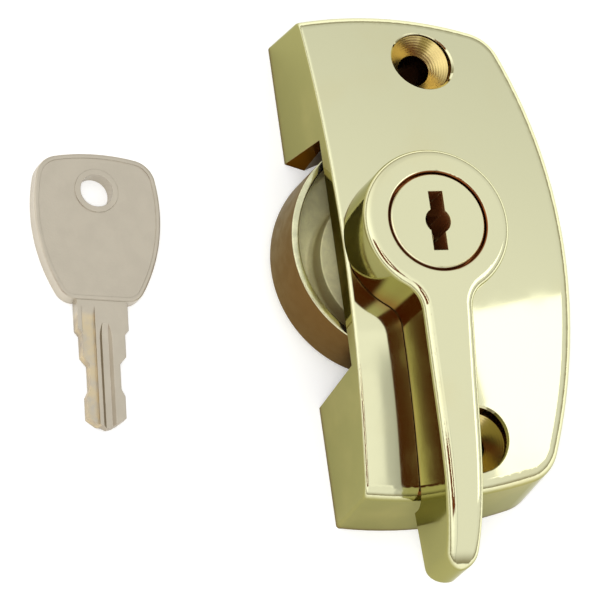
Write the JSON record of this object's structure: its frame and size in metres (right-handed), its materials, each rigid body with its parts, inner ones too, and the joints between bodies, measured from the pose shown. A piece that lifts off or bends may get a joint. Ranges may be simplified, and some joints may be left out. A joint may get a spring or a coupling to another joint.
{
  "type": "locking sash window cam fastener",
  "caption": "Domed brass window fastener with a key-locking swing lever, a crescent cam that draws a keep in, a locking bolt, and its key lying beside it.",
  "frame": {"origin": "midway between the two screw holes, on the face that is screwed down", "axes": "+X along the fastener towards the tip of the closed lever, +Y from the straight front face to the bowed back, +Z out of the face that is screwed down"},
  "size_m": [0.083, 0.0734, 0.0265],
  "materials": {
    "polished_brass": "electro-plated pale brass, polished",
    "satin_brass": "electro-plated pale brass, as cast under the plate",
    "plug_brass": "turned face, plated",
    "wafer_brass": "stamped",
    "steel": "zinc-plated",
    "spring_steel": "blued spring steel",
    "plastic_washer": "moulded",
    "nickel": "nickel-plated, satin"
  },
  "bodies": {
    "body": {"body_casting": "polished_brass", "bearing_washer": "plastic_washer", "wave_washer": "spring_steel"},
    "lever": {"lever_handle": "polished_brass", "cam_crescent": "satin_brass", "spindle_clip": "spring_steel", "cam_clip": "spring_steel", "plug_snap_ring": "spring_steel"},
    "plug": {"lock_plug": "plug_brass", "wafer_spring_1": "spring_steel", "wafer_spring_2": "spring_steel", "wafer_spring_3": "spring_steel", "wafer_spring_4": "spring_steel", "wafer_spring_5": "spring_steel"},
    "bolt": {"locking_bolt": "steel"},
    "wafer_1": {"wafer_1": "wafer_brass"},
    "wafer_2": {"wafer_2": "wafer_brass"},
    "wafer_3": {"wafer_3": "wafer_brass"},
    "wafer_4": {"wafer_4": "wafer_brass"},
    "wafer_5": {"wafer_5": "wafer_brass"},
    "key": {"key": "nickel"}
  },
  "joints": [
    {"name": "lever_turn", "type": "hinge", "parent": "body", "child": "lever", "pos_m": [0, -0.00626, 0], "axis": [0, 0, 1], "range_deg": [0, 180]},
    {"name": "plug_turn", "type": "hinge", "parent": "lever", "child": "plug", "pos_m": [0, -0.00626, 0], "axis": [0, 0, 1], "range_deg": [-90, 0]},
    {"name": "bolt_slide", "type": "slide", "parent": "lever", "child": "bolt", "axis": [-1, 0, 0], "range_m": [0, 0.0024]},
    {"name": "wafer_1_travel", "type": "slide", "parent": "plug", "child": "wafer_1", "axis": [1, 0, 0], "range_m": [0, 0.0007]},
    {"name": "wafer_2_travel", "type": "slide", "parent": "plug", "child": "wafer_2", "axis": [-1, 0, 0], "range_m": [0, 0.0007]},
    {"name": "wafer_3_travel", "type": "slide", "parent": "plug", "child": "wafer_3", "axis": [1, 0, 0], "range_m": [0, 0.0007]},
    {"name": "wafer_4_travel", "type": "slide", "parent": "plug", "child": "wafer_4", "axis": [-1, 0, 0], "range_m": [0, 0.0007]},
    {"name": "wafer_5_travel", "type": "slide", "parent": "plug", "child": "wafer_5", "axis": [1, 0, 0], "range_m": [0, 0.0007]},
    {"name": "key_lift", "type": "slide", "parent": "body", "child": "key", "axis": [0, 0, 1], "range_m": [0, 0.06]}
  ],
  "couplings": [
    {"joint": "bolt_slide", "follows": "plug_turn", "m_per_rad": -0.0015279}
  ]
}
